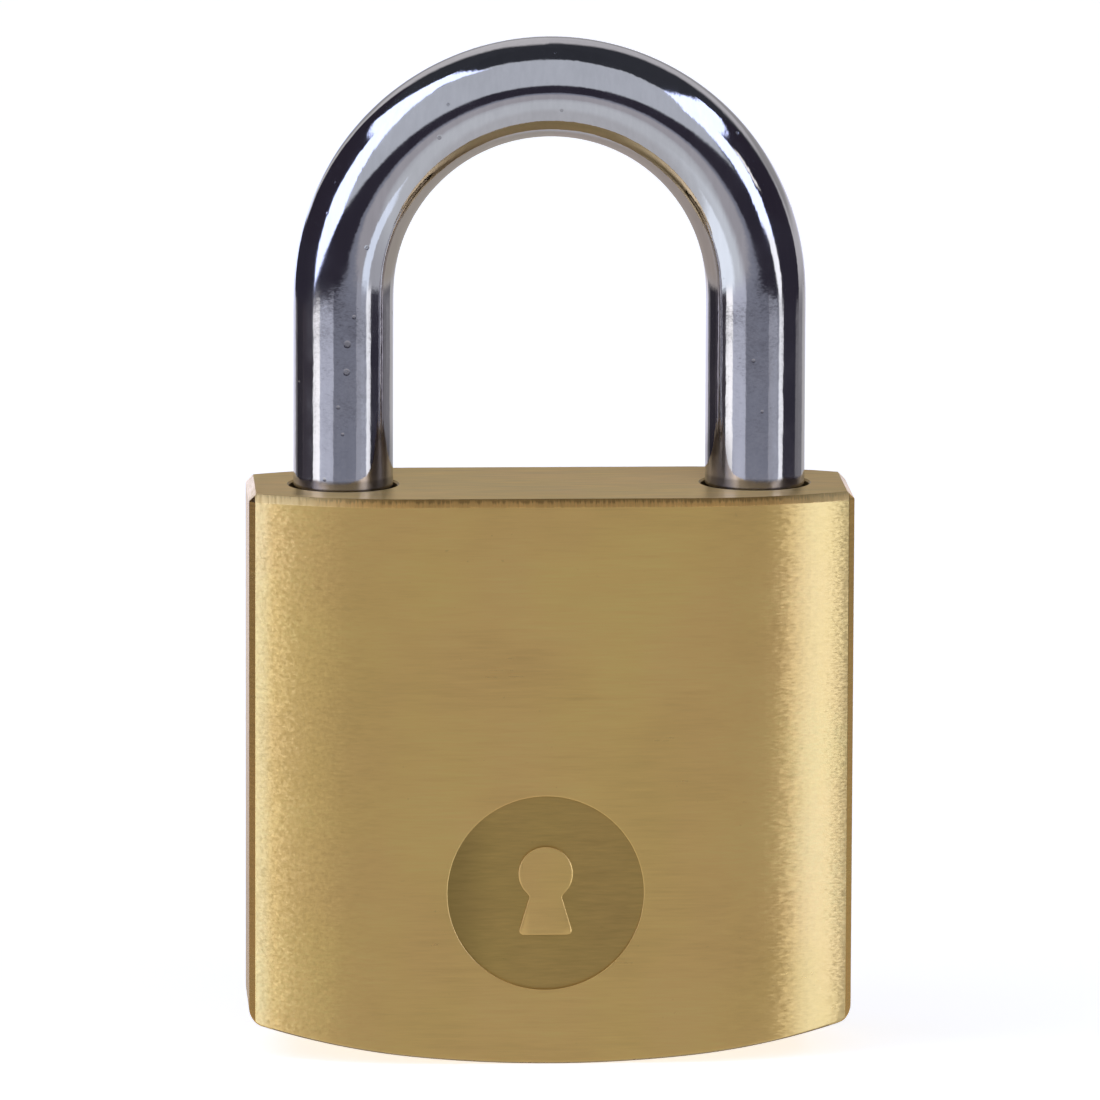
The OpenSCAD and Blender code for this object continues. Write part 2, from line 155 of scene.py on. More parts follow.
# The studio as seen from the lock. Each patch is a convex outline of (azimuth, elevation) corners in degrees,
# counterclockwise, the colour that polished chrome shows for it on a scale of 255, how many times brighter it
# is, and the width of its soft edge. Azimuth 0 is the camera and right is positive. Later patches cover
# earlier ones. CHROME_SHARE is the part of the light that the chrome mirrors.
CHROME_SHARE = 0.66
ROOM = (44, 46, 52)
SOFT_BOX = (248, 264, 318)
PATCHES = [
    # table top: grey in front, lighter further down, brownish behind, pale where it mirrors the soft boxes
    (band(-200, 200, -95, -8), (150, 153, 160), 1, 1),
    (band(-200, 200, -95, -24), (170, 175, 181), 1, 14),
    (band(-200, 200, -95, -48), (160, 163, 168), 1, 14),
    (band(-200, -98, -62, -8), (142, 135, 130), 1, 16),
    (band(98, 200, -62, -8), (142, 137, 130), 1, 16),
    (band(-32, 40, -22, -6), (144, 144, 150), 1, 4),
    (band(-92, -27, -36, -6), (184, 191, 199), 1, 18),
    (band(-92, -49, -36, -6), (217, 227, 238), 1, 8),
    (band(42, 60, -32, -6), (205, 216, 232), 1, 3),
    # far edge of the table top, which the upright legs mirror
    (band(-200, -144, -10.5, -6.5), (222, 216, 224), 0.7, 1.5),
    (band(-144, -106, -10.5, -6.5), (44, 42, 48), 1, 1.5),
    (band(-106, -73, -10.5, -6.5), (56, 53, 60), 1, 1.5),
    (band(-73, -55, -10.5, -6.5), (250, 252, 255), 1, 3),
    (band(-55, -22, -10.5, -6.5), (170, 175, 190), 1, 3),
    (band(-22, 31, -10.5, -6.5), (110, 114, 127), 1, 3),
    (band(31, 56, -10.5, -6.5), (143, 147, 159), 1, 3),
    (band(56, 67, -10.5, -6.5), (236, 240, 246), 1, 2.5),
    (band(67, 138, -10.5, -6.5), (45, 44, 54), 1, 1.5),
    (band(138, 200, -10.5, -6.5), (190, 190, 190), 0.6, 1.5),
    # bright wall behind the lock, white where the table meets it
    ([(-200, -7.4), (-136, -7.4), (-139, 28), (-150, 46), (-172, 58), (-200, 58)],
     (178, 178, 181), 0.9, 12),
    ([(110, -7.4), (200, -7.4), (200, 56), (168, 54), (128, 28)], (168, 168, 172), 0.95, 12),
    (band(-200, -150, 5, 20), (170, 170, 172), 0.56, 6),
    (band(126, 200, 5, 20), (170, 170, 172), 0.56, 6),
    (band(-178, -145, -7.4, 4), (255, 266, 305), 0.75, 5),
    (band(156, 200, -7.4, 4), (214, 215, 232), 0.8, 5),
    # dark sides of the room, and the dark gap between the table and the panel
    (band(-142, -66, -7.4, 41), (38, 35, 45), 1, 3),
    (band(52, 118, -7.4, 37), (38, 35, 45), 1, 3),
    ([(-150, -7.4), (118, -7.4), (118, 8), (34, 12), (10, 11.4), (-42, 8.6), (-150, 2)],
     (40, 38, 48), 1, 0.8),
    # grey panel in front and above
    ([(-42, 9), (10, 10), (36, 13), (46, 30), (54, 48), (50, 60), (28, 70), (0, 73), (-30, 70),
      (-52, 62), (-54, 50)], (161, 167, 176), 1, 3),
    # dark ceiling
    (band(-200, 200, 72, 95), (42, 44, 50), 1, 6),
    # soft boxes: a tall one and its top on each side, the right one's foot, and a small lamp
    ([(-71, -5), (-38, 8), (-51, 40), (-76, 40)], SOFT_BOX, 1, 2),
    ([(-112, 38), (-50, 38), (-57, 65), (-92, 62)], SOFT_BOX, 1, 3),
    ([(-95, 58), (-57, 58), (-32, 64), (-60, 68), (-90, 66)], SOFT_BOX, 1, 3),
    ([(39, 3), (58, 3), (64, 34), (43, 34)], SOFT_BOX, 1, 2),
    ([(43, 4), (49, -4), (56, -7.4), (62, -7.4), (60, 0), (58, 4)], (240, 244, 250), 1, 1.5),
    ([(43, 32), (64, 32), (104, 39), (106, 46), (76, 50), (53, 47)], SOFT_BOX, 1, 2),
    (band(63, 68, 17, 27), (235, 235, 235), 1, 2),
]
DOME_R = 2.6


def linear(value):
    """A colour value on a scale of 255, as light."""
    value /= 255
    return value / 12.92 if value <= 0.04045 else ((value + 0.055) / 1.055) ** 2.4


def studio_light(azimuth, elevation):
    """Light that comes from each direction, for arrays of degrees."""
    light = np.ones(azimuth.shape + (3,)) * [linear(c) / CHROME_SHARE for c in ROOM]
    for outline, colour, times, soft in PATCHES:
        mask = np.ones(azimuth.shape)
        for (a0, e0), (a1, e1) in zip(outline, outline[1:] + outline[:1]):
            length = math.hypot(a1 - a0, e1 - e0)
            inside = ((a1 - a0) * (elevation - e0) - (e1 - e0) * (azimuth - a0)) / length
            share = np.clip(inside / soft + 0.5, 0, 1)
            mask = np.minimum(mask, share * share * (3 - 2 * share))
        paint = np.array([linear(c) * times / CHROME_SHARE for c in colour])
        light += mask[..., None] * (paint - light)
    return light


def make_studio():
    """A dome that lights the lock and that metal mirrors. The camera looks through it at the white world."""
    across, up = 480, 240
    azimuth = np.repeat(np.linspace(-180, 180, across, endpoint=False)[None, :], up + 1, 0)
    elevation = np.repeat(np.linspace(-90, 90, up + 1)[:, None], across, 1)
    light = studio_light(azimuth, elevation).reshape(-1, 3)
    turn, rise = np.radians(azimuth - CAMERA_AZIMUTH).ravel(), np.radians(elevation).ravel()
    places = DOME_R * np.stack([np.sin(turn) * np.cos(rise), -np.cos(turn) * np.cos(rise), np.sin(rise)], 1)
    places[:, 2] += BODY_H * MM
    faces = []
    for low in range(0, up * across, across):
        high = low + across
        for i in range(across):
            n = (i + 1) % across
            faces.append((low + i, low + n, high + n, high + i))
    data = bpy.data.meshes.new("studio_dome")
    data.from_pydata(places.tolist(), [], faces)
    paint = data.attributes.new("light", "FLOAT_COLOR", "POINT")
    paint.data.foreach_set("color", np.hstack([light, np.ones((len(light), 1))]).astype(np.float32).ravel())
    dome = bpy.data.objects.new("studio_dome", data)
    dome.visible_camera = False
    dome.visible_transmission = False
    dome.visible_shadow = False
    scene.collection.objects.link(dome)
    material = bpy.data.materials.new("studio_light")
    material.use_nodes = True
    material.cycles.emission_sampling = "NONE"
    tree = material.node_tree
    tree.nodes.clear()
    colour = add(tree, "ShaderNodeAttribute", attribute_name="light").outputs["Color"]
    glow = add(tree, "ShaderNodeEmission", {"Color": colour, "Strength": 1.0})
    tree.links.new(glow.outputs[0], add(tree, "ShaderNodeOutputMaterial").inputs["Surface"])
    data.materials.append(material)


def make_world():
    """Plain white, for the camera and for what is seen through the lock's openings."""
    world = bpy.data.worlds.new("white")
    scene.world = world
    world.use_nodes = True
    background = world.node_tree.nodes["Background"]
    background.inputs["Color"].default_value = (1, 1, 1, 1)
    background.inputs["Strength"].default_value = 1.0


def make_floor():
    """White table top. It is seen from above only, and mirrors see the studio's table in its place."""
    side = 3.0
    data = bpy.data.meshes.new("floor")
    corners = [(-side, -side, 0), (side, -side, 0), (side, side, 0), (-side, side, 0)]
    data.from_pydata(corners, [], [(0, 1, 2, 3)])
    floor = bpy.data.objects.new("floor", data)
    floor.location.z = -0.02 * MM
    floor.visible_glossy = False
    scene.collection.objects.link(floor)
    material = bpy.data.materials.new("floor_white")
    material.use_nodes = True
    tree = material.node_tree
    tree.nodes.clear()
    diffuse = add(tree, "ShaderNodeBsdfDiffuse", {"Color": (0.8, 0.8, 0.8, 1)})
    glow = add(tree, "ShaderNodeEmission", {"Color": (1, 0.99, 0.97, 1), "Strength": 0.70})
    lit = add(tree, "ShaderNodeAddShader", {0: diffuse.outputs[0], 1: glow.outputs[0]})
    clear = add(tree, "ShaderNodeBsdfTransparent")
    below = add(tree, "ShaderNodeNewGeometry").outputs["Backfacing"]
    surface = add(tree, "ShaderNodeMixShader", {0: below, 1: lit.outputs[0], 2: clear.outputs[0]})
    tree.links.new(surface.outputs[0], add(tree, "ShaderNodeOutputMaterial").inputs["Surface"])
    data.materials.append(material)


# ---------------------------------------------------------------- materials

def start_material(name, base, roughness, anisotropy=0.0, tangent_axis=None):
    """A metal with its constants on the shader's own sockets. Returns material, tree and shader."""
    material = bpy.data.materials.new(name)
    material.use_nodes = True
    tree = material.node_tree
    shader = tree.nodes["Principled BSDF"]
    shader.inputs["Base Color"].default_value = (*base, 1)
    shader.inputs["Metallic"].default_value = 1.0
    shader.inputs["Roughness"].default_value = roughness
    if tangent_axis:
        shader.inputs["Anisotropic"].default_value = anisotropy
        shader.inputs["Anisotropic Rotation"].default_value = 0.25
        tangent = add(tree, "ShaderNodeTangent", direction_type="RADIAL", axis=tangent_axis)
        tree.links.new(tangent.outputs[0], shader.inputs["Tangent"])
    return material, tree, shader


def place_mm(tree):
    """Position on the piece in millimetres."""
    return vector(tree, "SCALE", add(tree, "ShaderNodeTexCoord").outputs["Object"], 1000.0)


def noise(tree, place, scale, detail=2.0, seed=0.0, roughness=0.5):
    """Noise whose features are 1/scale millimetres long on each axis, around 0.5."""
    stretched = vector(tree, "MULTIPLY", place, scale)
    moved = vector(tree, "ADD", stretched, (seed, seed * 1.7, seed * 2.3))
    return add(tree, "ShaderNodeTexNoise",
               {"Vector": moved, "Scale": 1.0, "Detail": detail, "Roughness": roughness}).outputs[0]


def tinted(tree, base, *layers):
    """base times each layer; a layer is a value around 1."""
    colour = base
    for layer in layers:
        colour = vector(tree, "SCALE", colour, layer)
    return colour


def tilted_normal(tree, *tilts):
    """The surface's normal, tipped along each direction by a value around 0."""
    normal = add(tree, "ShaderNodeNewGeometry").outputs["Normal"]
    total = normal
    for direction, value in tilts:
        total = vector(tree, "ADD", total, vector(tree, "SCALE", direction, value))
    return vector(tree, "NORMALIZE", total)


def brushed_brass(name, base, roughness, anisotropy, axis, across, grain, tilt, contrast, seed,
                  grainy_end=0.0, painted_shade=None):
    """Brass ground with a fine belt. axis is the tangent's axis, across the direction over the grain, grain
    the noise scale of the finest lines, tilt how far they tip the light, and contrast how much they tint the
    metal. grainy_end is the tilt of the rough patches near the left end. Metal with a grainy end also gets a
    painted highlight: it is lighter and less saturated near both ends, where the brass mirrors the soft
    boxes.
    The last argument, if given, is the x where the painted shade is darkest, the x where it ends and how dark
    it is."""
    material, tree, shader = start_material(name, base, roughness, anisotropy, axis)
    place = place_mm(tree)
    fine = noise(tree, place, grain, 2.0, seed)
    strokes = noise(tree, place, tuple(g * 0.45 for g in grain), 3.0, seed + 3, 0.6)
    cloud = noise(tree, place, (0.09, 0.09, 0.13), 3.0, seed + 7)
    blotch = noise(tree, place, (0.13, 0.13, 0.10), 2.0, seed + 9)
    speck = noise(tree, place, (2.3, 2.3, 2.9), 2.0, seed + 11)
    colour = tinted(tree, base,
                    ramp(tree, fine, 0.3, 0.7, 1 - contrast, 1 + contrast, smooth=False),
                    ramp(tree, strokes, 0.3, 0.7, 1 - contrast, 1 + contrast, smooth=False),
                    ramp(tree, cloud, 0.3, 0.7, 0.965, 1.035),
                    ramp(tree, speck, 0.73, 0.80, 1.0, 0.89))
    x = add(tree, "ShaderNodeSeparateXYZ", {0: place}).outputs[0]
    # Painted shade: the colour darkens toward the first given x.
    if painted_shade:
        colour = tinted(tree, colour, ramp(tree, x, painted_shade[0], painted_shade[1], painted_shade[2], 1.0))
    if grainy_end:
        # Painted highlight: the brass is lighter and less saturated near both ends, where it mirrors the soft
        # boxes.
        pale_ends_highlight = maths(tree, "ADD", ramp(tree, x, 14.5, 18.0), ramp(tree, x, -18.0, -19.6))
        paler = add(tree, "ShaderNodeCombineXYZ", {0: 1.0, 1: ramp(tree, pale_ends_highlight, 0.0, 1.0, 1.0, 1.12),
                                                   2: ramp(tree, pale_ends_highlight, 0.0, 1.0, 1.0, 1.38)}).outputs[0]
        colour = vector(tree, "MULTIPLY", colour, paler)
    warmth = add(tree, "ShaderNodeCombineXYZ", {0: ramp(tree, blotch, 0.35, 0.65, 0.993, 1.007),
                                                1: ramp(tree, blotch, 0.35, 0.65, 1.007, 0.993),
                                                2: ramp(tree, blotch, 0.35, 0.65, 0.98, 1.02)}).outputs[0]
    tree.links.new(vector(tree, "MULTIPLY", colour, warmth), shader.inputs["Base Color"])
    rough = maths(tree, "ADD",
                  ramp(tree, strokes, 0.3, 0.7, roughness - 0.03, roughness + 0.03, smooth=False),
                  ramp(tree, cloud, 0.3, 0.7, -0.02, 0.02))
    normal = add(tree, "ShaderNodeNewGeometry").outputs["Normal"]
    along = vector(tree, "NORMALIZE", vector(tree, "CROSS_PRODUCT", normal, across))
    dash = noise(tree, place, tuple(g * 0.8 for g in grain), 3.0, seed + 17, 0.6)
    tip = noise(tree, place, tuple(g * 0.6 for g in grain), 2.0, seed + 23)
    tilts = [(along, ramp(tree, dash, 0.2, 0.8, -tilt, tilt, smooth=False)),
             (across, ramp(tree, tip, 0.2, 0.8, -tilt, tilt, smooth=False))]
    if grainy_end:
        share = ramp(tree, x, -12.5, -15.8)
        for direction, shift in ((along, 29), (across, 37)):
            lump = noise(tree, place, (4.4, 4.4, 3.8), 3.0, seed + shift, 0.6)
            tipped = ramp(tree, lump, 0.2, 0.8, -grainy_end, grainy_end, smooth=False)
            tilts.append((direction, maths(tree, "MULTIPLY", tipped, share)))
    tree.links.new(rough, shader.inputs["Roughness"])
    tree.links.new(tilted_normal(tree, *tilts), shader.inputs["Normal"])
    return material


def chatter_brass(name, base, highlight_base, roughness):
    """Brass of the milled bevel: short upright tool marks, dark where the cutter rubbed, and painted
    highlights at both ends.
    """
    material, tree, shader = start_material(name, base, roughness)
    place = place_mm(tree)
    marks = noise(tree, place, (4.2, 0.5, 0.5), 2.0, 2.0, 0.6)
    patches = noise(tree, place, (0.3, 0.3, 0.2), 2.0, 5.0)
    level = maths(tree, "ADD", marks, ramp(tree, patches, 0.35, 0.65, -0.06, 0.05))
    axes = add(tree, "ShaderNodeSeparateXYZ", {0: place})
    edge = maths(tree, "ADD", axes.outputs[2], ramp(tree, marks, 0.35, 0.65, 0.10, -0.08))
    rubbed = tinted(tree, base,
                    ramp(tree, level, 0.36, 0.60, 0.82, 1.0),
                    ramp(tree, edge, BODY_H - 0.30, BODY_H - 0.08, 1.0, 0.56),
                    ramp(tree, patches, 0.35, 0.65, 0.9, 1.0))
    # bright is a lighter copy of the bevel's brass: the painted highlight that is mixed in toward both ends.
    bright = tinted(tree, highlight_base,
                    ramp(tree, level, 0.36, 0.60, 0.90, 1.0),
                    ramp(tree, edge, BODY_H - 0.20, BODY_H - 0.05, 1.0, 0.90))
    ends = maths(tree, "ADD", ramp(tree, axes.outputs[0], -11.5, -18.0),
                 ramp(tree, axes.outputs[0], 14.0, 18.0, 0.0, 0.75))
    colour = mix(tree, ends, rubbed, bright)
    tree.links.new(colour, shader.inputs["Base Color"])
    tree.links.new(ramp(tree, marks, 0.35, 0.65, roughness + 0.08, roughness - 0.06),
                   shader.inputs["Roughness"])
    bump = add(tree, "ShaderNodeBump", {"Strength": 0.5, "Distance": 0.03 * MM, "Height": marks})
    tree.links.new(bump.outputs[0], shader.inputs["Normal"])
    return material


def turned_metal(name, base, roughness, axis_scale, contrast=0.06, anisotropy=0.4, axis="Z", seed=1.0):
    """Metal turned, drilled or drawn: fine lines, with a light stain. axis_scale is the noise scale of the
    lines and axis the tangent's axis."""
    material, tree, shader = start_material(name, base, roughness, anisotropy, axis)
    place = place_mm(tree)
    rings = noise(tree, place, axis_scale, 3.0, seed, 0.6)
    stain = noise(tree, place, (0.6, 0.6, 0.6), 3.0, seed + 4)
    colour = tinted(tree, base,
                    ramp(tree, rings, 0.3, 0.7, 1 - contrast, 1 + contrast, smooth=False),
                    ramp(tree, stain, 0.3, 0.7, 0.92, 1.06))
    tree.links.new(colour, shader.inputs["Base Color"])
    tree.links.new(ramp(tree, rings, 0.3, 0.7, roughness + 0.06, roughness - 0.05, smooth=False),
                   shader.inputs["Roughness"])
    bump = add(tree, "ShaderNodeBump", {"Strength": 0.3, "Distance": 0.01 * MM, "Height": rings})
    tree.links.new(bump.outputs[0], shader.inputs["Normal"])
    return material


# Centre and radius of each dent in the front of the legs, in millimetres.
DENTS = [((-13.50, -3.3, 47.6), 0.28), ((-13.55, -3.3, 45.75), 0.26), ((-13.05, -3.25, 49.4), 0.15),
         ((-14.1, -3.25, 43.4), 0.14), ((-13.8, -3.3, 41.6), 0.12), ((13.3, -3.3, 46.4), 0.14),
         ((13.9, -3.3, 43.0), 0.12)]


def chrome(name, base, roughness):
    """Polished chrome over drawn steel: faint lines along the rod, a slow ripple, small pits and a few dents.
    The rod is rougher and darker at the mouth of its hole, less dark further down, and darker on its inner
    side just above."""
    material, tree, shader = start_material(name, base, roughness)
    place = place_mm(tree)
    lines = noise(tree, place, (2.6, 2.6, 0.10), 3.0, 3.0)
    ripple = noise(tree, place, (0.45, 0.45, 0.22), 2.0, 9.0)
    orange = noise(tree, place, (4.5, 4.5, 4.5), 2.0, 5.0)
    waves = noise(tree, place, (2.2, 2.2, 0.7), 2.0, 17.0)
    haze = noise(tree, place, (0.35, 0.35, 0.25), 4.0, 13.0)
    cells = add(tree, "ShaderNodeTexVoronoi", {"Vector": place, "Scale": 0.55, "Randomness": 1.0})
    choose = noise(tree, place, (0.16, 0.16, 0.16), 2.0, 31.0)
    pit = maths(tree, "MULTIPLY", ramp(tree, cells.outputs["Distance"], 0.05, 0.10, 1.0, 0.0),
                ramp(tree, choose, 0.48, 0.56))
    dents = None
    for centre, radius in DENTS:
        gap = vector(tree, "DISTANCE", place, centre)
        hollow = ramp(tree, gap, radius * 0.45, radius, 1.0, 0.0)
        dents = maths(tree, "ADD", dents, hollow) if dents else hollow
    axes = add(tree, "ShaderNodeSeparateXYZ", {0: place})
    z = axes.outputs[2]
    inner = ramp(tree, maths(tree, "ABSOLUTE", axes.outputs[0]), LEG_X - 1.3, LEG_X - 2.1)
    inner_darkening = maths(tree, "MULTIPLY", inner, ramp(tree, z, BODY_H + 5.0, BODY_H + 1.5))
    colour = tinted(tree, base,
                    ramp(tree, lines, 0.3, 0.7, 0.97, 1.03, smooth=False),
                    ramp(tree, haze, 0.3, 0.7, 0.96, 1.02),
                    ramp(tree, pit, 0.0, 1.0, 1.0, 0.72),
                    ramp(tree, inner_darkening, 0.0, 1.0, 1.0, 0.62),
                    ramp(tree, z, BODY_H + 0.75, BODY_H + 0.5, 1.0, 0.62),
                    ramp(tree, z, BODY_H, BODY_H - 4.5, 1.0, 1.45))
    tree.links.new(colour, shader.inputs["Base Color"])
    rough = maths(tree, "ADD", ramp(tree, haze, 0.35, 0.7, roughness, roughness + 0.05),
                  ramp(tree, pit, 0.0, 1.0, 0.0, 0.25))
    rough = maths(tree, "ADD", rough, ramp(tree, z, BODY_H + 0.9, BODY_H + 0.2, 0.0, 0.14))
    rough = maths(tree, "ADD", rough, maths(tree, "MULTIPLY", dents, 0.16))
    tree.links.new(rough, shader.inputs["Roughness"])
    height = maths(tree, "ADD", ripple, maths(tree, "MULTIPLY", orange, 0.07))
    height = maths(tree, "ADD", height, maths(tree, "MULTIPLY", waves, 0.3))
    height = maths(tree, "ADD", height, maths(tree, "MULTIPLY", lines, 0.03))
    height = maths(tree, "SUBTRACT", height, maths(tree, "MULTIPLY", pit, 0.6))
    height = maths(tree, "SUBTRACT", height, maths(tree, "MULTIPLY", dents, 0.20))
    bump = add(tree, "ShaderNodeBump", {"Strength": 0.35, "Distance": 0.05 * MM, "Height": height})
    tree.links.new(bump.outputs[0], shader.inputs["Normal"])
    return material


# ---------------------------------------------------------------- mesh helpers

def fillet(points, radii, steps):
    """The open outline with each inner corner rounded by its radius, in steps + 1 points."""
    out = [points[0]]
    for i in range(1, len(points) - 1):
        here = Vector(points[i])
        back, ahead = Vector(points[i - 1]) - here, Vector(points[i + 1]) - here
        radius = radii[i]
        if radius <= 0 or back.length < 1e-9 or ahead.length < 1e-9:
            out.extend([tuple(here)] * (steps + 1))
            continue
        half = back.angle(ahead) / 2
        reach = min(radius / math.tan(half), 0.49 * back.length, 0.49 * ahead.length)
        start, end = here + back.normalized() * reach, here + ahead.normalized() * reach
        true_r = reach * math.tan(half)
        centre = here + (back.normalized() + ahead.normalized()).normalized() * (true_r / math.sin(half))
        a, b = start - centre, end - centre
        sweep = a.angle(b) if a.length > 1e-9 else 0.0
        for k in range(steps + 1):
            t = k / steps
            if sweep > 1e-6:
                p = centre + (math.sin((1 - t) * sweep) * a + math.sin(t * sweep) * b) / math.sin(sweep)
            else:
                p = start.lerp(end, t)
            out.append(tuple(p))
    out.append(points[-1])
    return out


def along_x(outline, x):
    """Height of an outline at x, where x grows from point to point."""
    for (x0, y0), (x1, y1) in zip(outline, outline[1:]):
        if x0 - 1e-9 <= x <= x1 + 1e-9:
            return y1 if x1 - x0 < 1e-9 else y0 + (y1 - y0) * (x - x0) / (x1 - x0)
    return outline[-1][1]


def mesh_object(name, verts, faces, materials):
    """An object of corners in millimetres, with doubled corners merged and all faces turned outward."""
    data = bpy.data.meshes.new(name)
    data.from_pydata([tuple(c * MM for c in v) for v in verts], [], faces)
    data.validate()
    obj = bpy.data.objects.new(name, data)
    scene.collection.objects.link(obj)
    for material in materials:
        data.materials.append(material)
    clean = bmesh.new()
    clean.from_mesh(data)
    bmesh.ops.remove_doubles(clean, verts=clean.verts, dist=1e-7)
    bmesh.ops.dissolve_degenerate(clean, edges=clean.edges, dist=1e-8)
    bmesh.ops.recalc_face_normals(clean, faces=clean.faces)
    clean.to_mesh(data)
    clean.free()
    return obj


def apply_modifiers(obj):
    """The object's evaluated mesh takes the place of its mesh."""
    depsgraph = bpy.context.evaluated_depsgraph_get()
    finished = bpy.data.meshes.new_from_object(obj.evaluated_get(depsgraph), depsgraph=depsgraph)
    obj.modifiers.clear()
    obj.data = finished


def carve(obj, cutter):
    """Takes the cutter out of obj and deletes it. Cut faces keep the cutter's material number."""
    modifier = obj.modifiers.new("cut", "BOOLEAN")
    modifier.operation = "DIFFERENCE"
    modifier.solver = "EXACT"
    modifier.object = cutter
    apply_modifiers(obj)
    bpy.data.objects.remove(cutter)


def smooth_shade(obj, angle=35):
    """Smooth faces with creases over the angle, and normals that follow the large faces."""
    data = obj.data
    for face in data.polygons:
        face.use_smooth = True
    data.set_sharp_from_angle(angle=math.radians(angle))
    modifier = obj.modifiers.new("normals", "WEIGHTED_NORMAL")
    modifier.keep_sharp = True
    modifier.weight = 100
    apply_modifiers(obj)


def lathe(name, outline, axis, origin, sides, slots, slot):
    """A round cutter: outline is (along, radius) pairs, axis is X, Y or Z, and slot is the material number
    of its faces."""
    verts, faces = [], []
    for a, r in outline:
        for k in range(sides):
            t = 2 * math.pi * k / sides
            u, v = r * math.cos(t), r * math.sin(t)
            local = {"X": (a, u, v), "Y": (v, a, u), "Z": (u, v, a)}[axis]
            verts.append(tuple(o + c for o, c in zip(origin, local)))
    for ring in range(len(outline) - 1):
        for k in range(sides):
            n = (k + 1) % sides
            faces.append([ring * sides + k, ring * sides + n, (ring + 1) * sides + n, (ring + 1) * sides + k])
    faces.append(list(range(sides))[::-1])
    faces.append([(len(outline) - 1) * sides + k for k in range(sides)])
    obj = mesh_object(name, verts, faces, slots)
    for face in obj.data.polygons:
        face.material_index = slot
    return obj


def outset(plan, grow):
    """The closed counterclockwise outline moved outward."""
    out = []
    for k, (x, z) in enumerate(plan):
        (x0, z0), (x1, z1) = plan[k - 1], plan[(k + 1) % len(plan)]
        before, after = Vector((z - z0, x0 - x)).normalized(), Vector((z1 - z, x - x1)).normalized()
        normal = (before + after).normalized()
        reach = grow / normal.dot(before)
        out.append((x + normal.x * reach, z + normal.y * reach))
    return out


def prism(name, plan, levels, slots, wall, cap, edge):
    """A cutter with an outline in x and z. levels are pairs of y and the growth of the outline there. wall,
    cap and edge are the material numbers of its upright faces, its ends and its sloping faces."""
    n = len(plan)
    verts = [(x, y, z) for y, grow in levels for x, z in outset(plan, grow)]
    faces = [[r * n + k, r * n + (k + 1) % n, (r + 1) * n + (k + 1) % n, (r + 1) * n + k]
             for r in range(len(levels) - 1) for k in range(n)]
    faces += [list(range(n))[::-1], [(len(levels) - 1) * n + k for k in range(n)]]
    obj = mesh_object(name, verts, faces, slots)
    for face in obj.data.polygons:
        slope = abs(face.normal.y)
        face.material_index = cap if slope > 0.97 else edge if slope > 0.3 else wall
    return obj


# ---------------------------------------------------------------- body

# Material numbers of the body.
SIDE, TOP, BEVELLED, BOTTOM, BORE, RECESS, END, EDGE_SHADE = range(8)
CURVE_STEPS, CORNER_STEPS = 48, 12
RIM_STEP = 0.045


